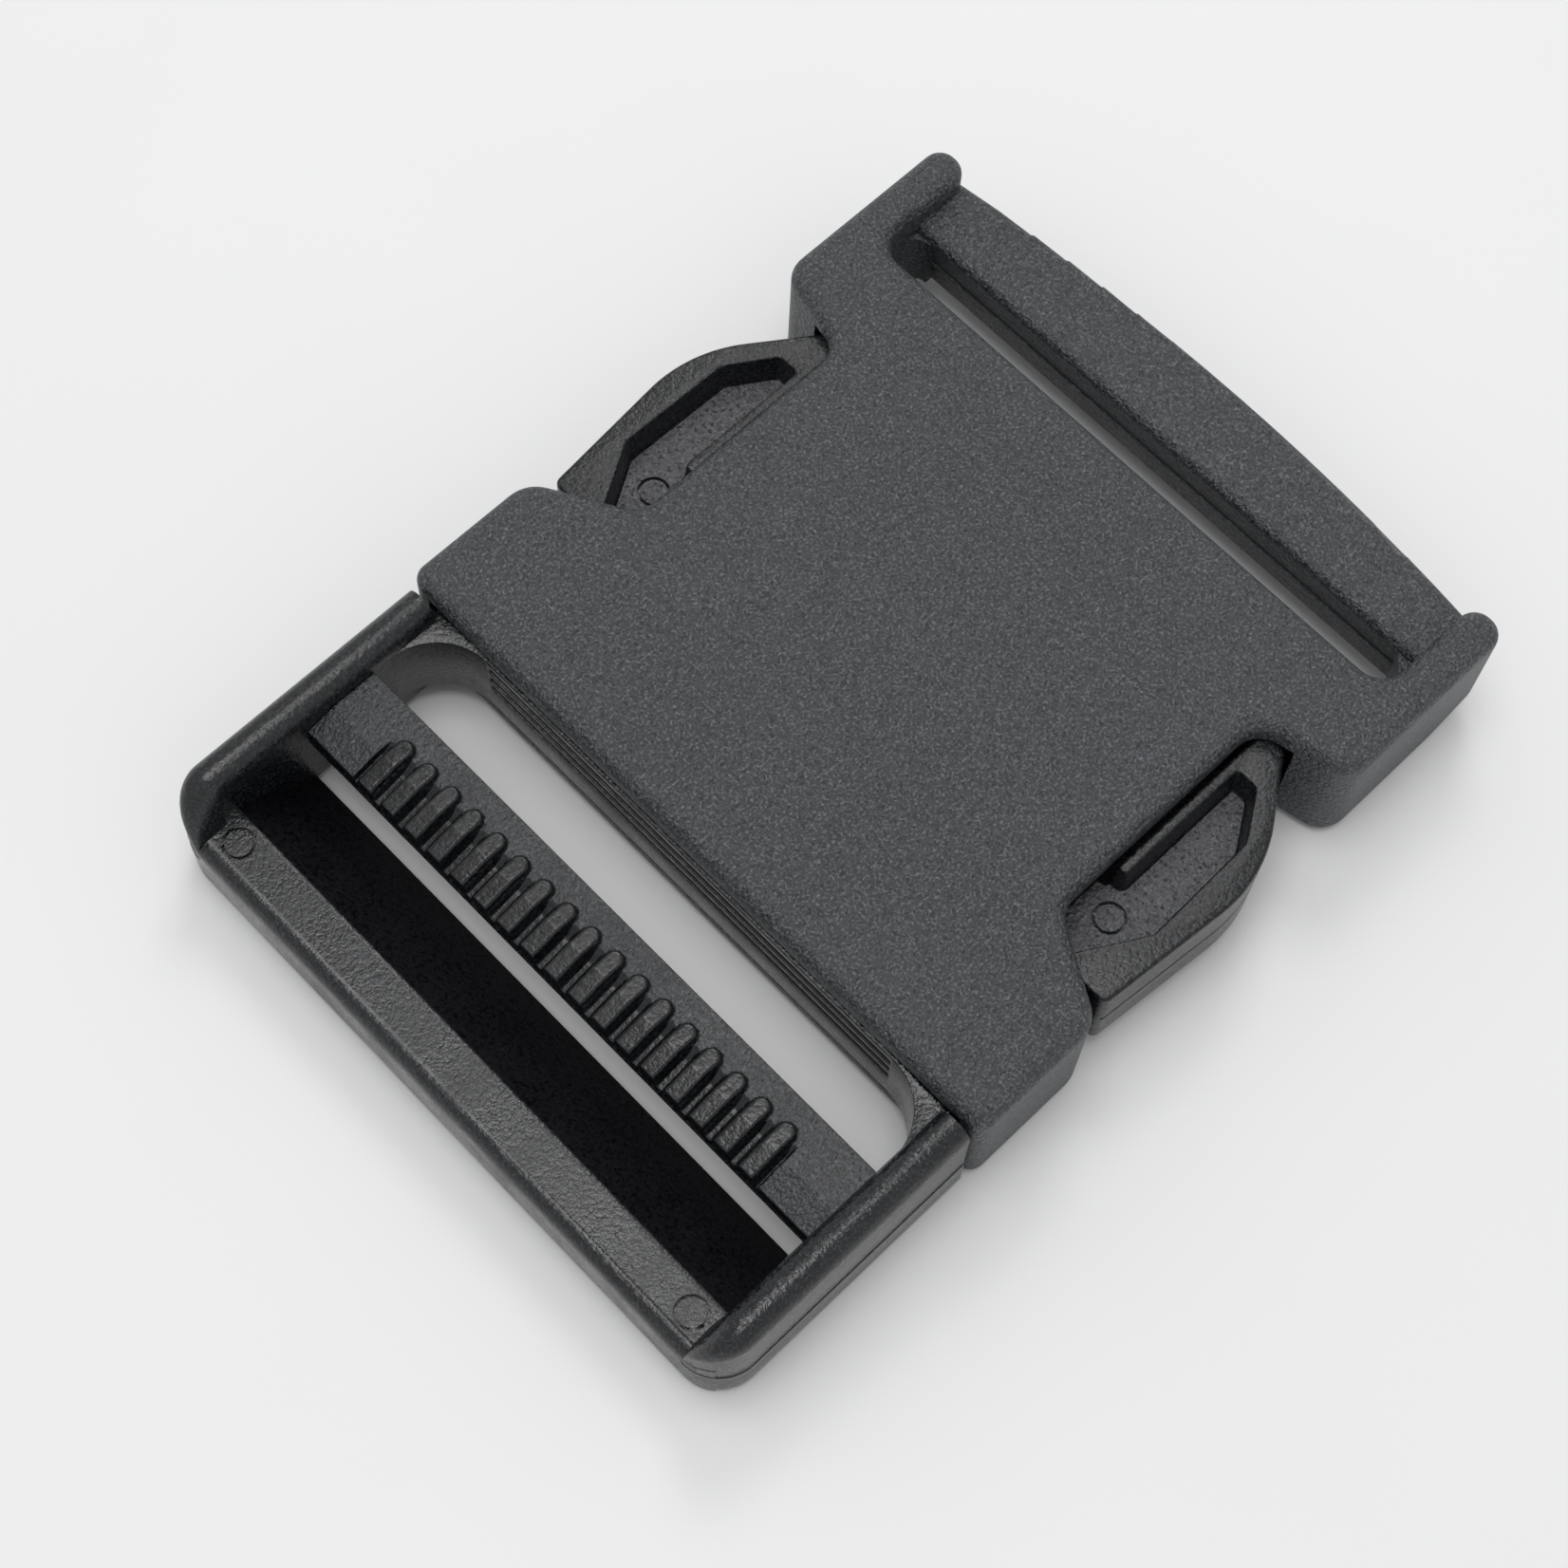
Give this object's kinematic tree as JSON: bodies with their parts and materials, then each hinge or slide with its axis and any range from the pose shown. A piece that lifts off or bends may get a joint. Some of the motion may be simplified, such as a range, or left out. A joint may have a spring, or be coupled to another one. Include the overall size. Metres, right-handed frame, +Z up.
{
  "type": "side release buckle with webbing adjuster",
  "caption": "Side-release buckle for 50 mm webbing: a socket with a sewn-strap bar, and a plug with sprung latch arms and a ribbed adjuster bar.",
  "frame": {"origin": "centre of the closed buckle's underside", "axes": "+X from the plug's outer end to the socket's strap end, +Y across the webbing, +Z up"},
  "size_m": [0.082, 0.0596, 0.012],
  "materials": {
    "socket_plastic": "fine spark-eroded grain, charcoal black",
    "plug_plastic": "fine spark-eroded grain, charcoal black, polished towards the rail ridges"
  },
  "bodies": {
    "socket": {"socket_shell": "socket_plastic", "socket_guide_rib_left": "socket_plastic", "socket_guide_rib_right": "socket_plastic"},
    "plug": {"plug_frame": "plug_plastic", "plug_grip_bar": "plug_plastic", "plug_guide_tongue": "plug_plastic"},
    "left_arm": {"left_arm": "plug_plastic"},
    "right_arm": {"right_arm": "plug_plastic"}
  },
  "joints": [
    {"name": "plug_slide", "type": "slide", "parent": "socket", "child": "plug", "axis": [-1, 0, 0], "range_m": [0, 0.04], "deforming": ["left_arm", "right_arm"]},
    {"name": "left_arm_press", "type": "hinge", "parent": "plug", "child": "left_arm", "pos_m": [-0.0134, 0.0228, 0.006], "axis": [0, 0, -1], "range_deg": [0, 9], "stiffness_Nm_per_rad": 2.4},
    {"name": "right_arm_press", "type": "hinge", "parent": "plug", "child": "right_arm", "pos_m": [-0.0134, -0.0228, 0.006], "axis": [0, 0, 1], "range_deg": [0, 9], "stiffness_Nm_per_rad": 2.4}
  ]
}
